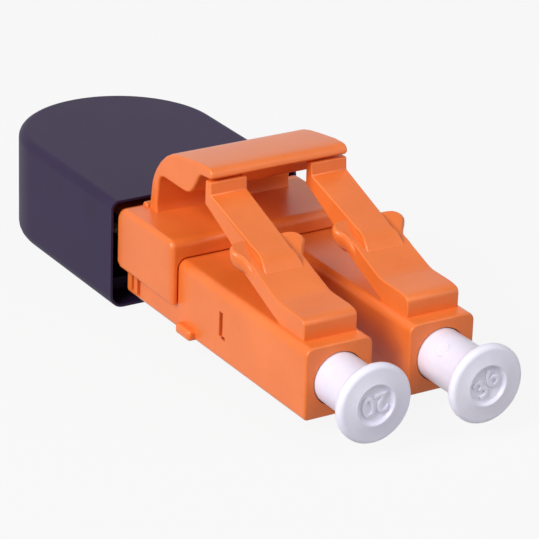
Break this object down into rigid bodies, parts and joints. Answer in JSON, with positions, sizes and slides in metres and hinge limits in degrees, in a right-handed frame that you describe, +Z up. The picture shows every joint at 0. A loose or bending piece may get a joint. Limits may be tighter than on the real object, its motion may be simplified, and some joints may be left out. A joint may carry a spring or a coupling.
{
  "type": "fibre loopback adapter",
  "caption": "Duplex fibre loopback: twin latching plugs with dust caps, an orange clip with a press trigger, and a dark round-ended housing that turns the fibre back on itself.",
  "frame": {"origin": "on the housing's flat underside, below the centre of its round end", "axes": "+Z up, ferrules along -Y, X across the two plugs"},
  "size_m": [0.012, 0.0386, 0.0107],
  "materials": {
    "black_shell": "satin",
    "orange_plastic": "satin",
    "cap_plastic": "milky",
    "ceramic": "polished",
    "flange_metal": "nickel plated",
    "spring_steel": "bright",
    "clear_tube": "natural",
    "fibre_buffer": "satin"
  },
  "bodies": {
    "shell": {"loop_housing": "black_shell", "duplex_clip": "orange_plastic", "fibre_loop": "fibre_buffer", "plug_housing_left": "orange_plastic", "rear_body_left": "orange_plastic", "spring_left": "spring_steel", "plug_housing_right": "orange_plastic", "rear_body_right": "orange_plastic", "spring_right": "spring_steel"},
    "trigger": {"trigger": "orange_plastic"},
    "ferrule_left": {"ferrule_left": "ceramic", "ferrule_flange_left": "flange_metal", "guide_tube_left": "clear_tube"},
    "lever_left": {"latch_lever_left": "orange_plastic"},
    "cap_left": {"dust_cap_left": "cap_plastic"},
    "ferrule_right": {"ferrule_right": "ceramic", "ferrule_flange_right": "flange_metal", "guide_tube_right": "clear_tube"},
    "lever_right": {"latch_lever_right": "orange_plastic"},
    "cap_right": {"dust_cap_right": "cap_plastic"}
  },
  "joints": [
    {"name": "trigger_press", "type": "hinge", "parent": "shell", "child": "trigger", "pos_m": [0, -0.0112, 0.0062], "axis": [1, 0, 0], "range_deg": [0, 7], "stiffness_Nm_per_rad": 0.06},
    {"name": "latch_left_flex", "type": "hinge", "parent": "shell", "child": "lever_left", "pos_m": [-0.00313, -0.0244, 0.00582], "axis": [-1, 0, 0], "range_deg": [0, 6], "stiffness_Nm_per_rad": 0.02},
    {"name": "ferrule_left_float", "type": "slide", "parent": "shell", "child": "ferrule_left", "axis": [0, 1, 0], "range_m": [0, 0.0005], "stiffness_N_per_m": 900, "springref_m": -0.005, "deforming": ["spring_left"]},
    {"name": "cap_left_pull", "type": "slide", "parent": "shell", "child": "cap_left", "axis": [0, -1, 0], "range_m": [0, 0.01]},
    {"name": "latch_right_flex", "type": "hinge", "parent": "shell", "child": "lever_right", "pos_m": [0.00313, -0.0244, 0.00582], "axis": [-1, 0, 0], "range_deg": [0, 6], "stiffness_Nm_per_rad": 0.02},
    {"name": "ferrule_right_float", "type": "slide", "parent": "shell", "child": "ferrule_right", "axis": [0, 1, 0], "range_m": [0, 0.0005], "stiffness_N_per_m": 900, "springref_m": -0.005, "deforming": ["spring_right"]},
    {"name": "cap_right_pull", "type": "slide", "parent": "shell", "child": "cap_right", "axis": [0, -1, 0], "range_m": [0, 0.01]}
  ],
  "couplings": [
    {"joint": "latch_left_flex", "follows": "trigger_press", "ratio": 0.8},
    {"joint": "latch_right_flex", "follows": "trigger_press", "ratio": 0.8}
  ]
}
